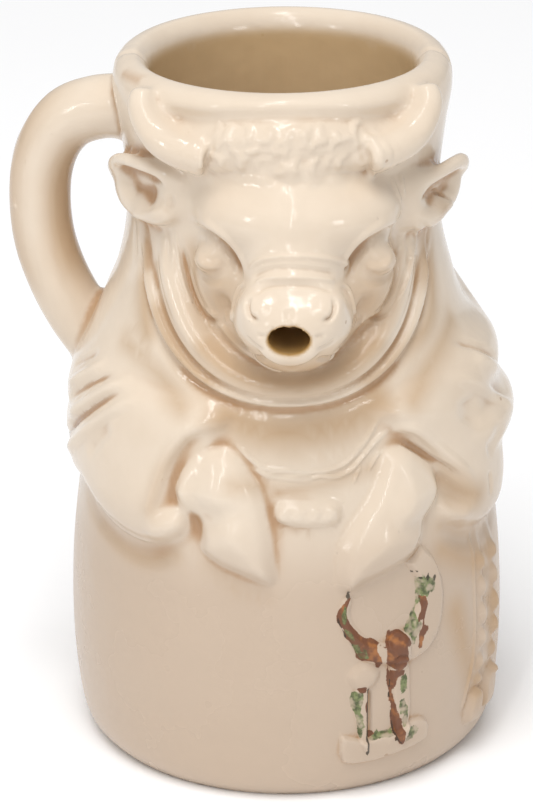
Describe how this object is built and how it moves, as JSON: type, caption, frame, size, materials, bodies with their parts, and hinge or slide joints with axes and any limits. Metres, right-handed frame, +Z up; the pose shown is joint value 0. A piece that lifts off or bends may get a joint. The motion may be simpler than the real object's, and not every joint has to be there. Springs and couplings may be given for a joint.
{
  "type": "figural creamer",
  "caption": "Hollow glazed ceramic creamer shaped as a horned bull in a shawl with keys at the waist; open rim above, pouring hole in the muzzle, loop handle at one side.",
  "frame": {"origin": "centre of the flat underside, on the axis of the rim", "axes": "+Z up through the rim, -Y towards the bull's muzzle, +X towards the bull's left hand, which holds the keys; the handle is on the -X side"},
  "size_m": [0.0998, 0.0916, 0.1399],
  "materials": {
    "glazed_ceramic": "glossy cream glaze, tan where it pools, with worn green and rust-brown paint left on the keys"
  },
  "bodies": {
    "root": {"creamer": "glazed_ceramic"}
  },
  "joints": []
}
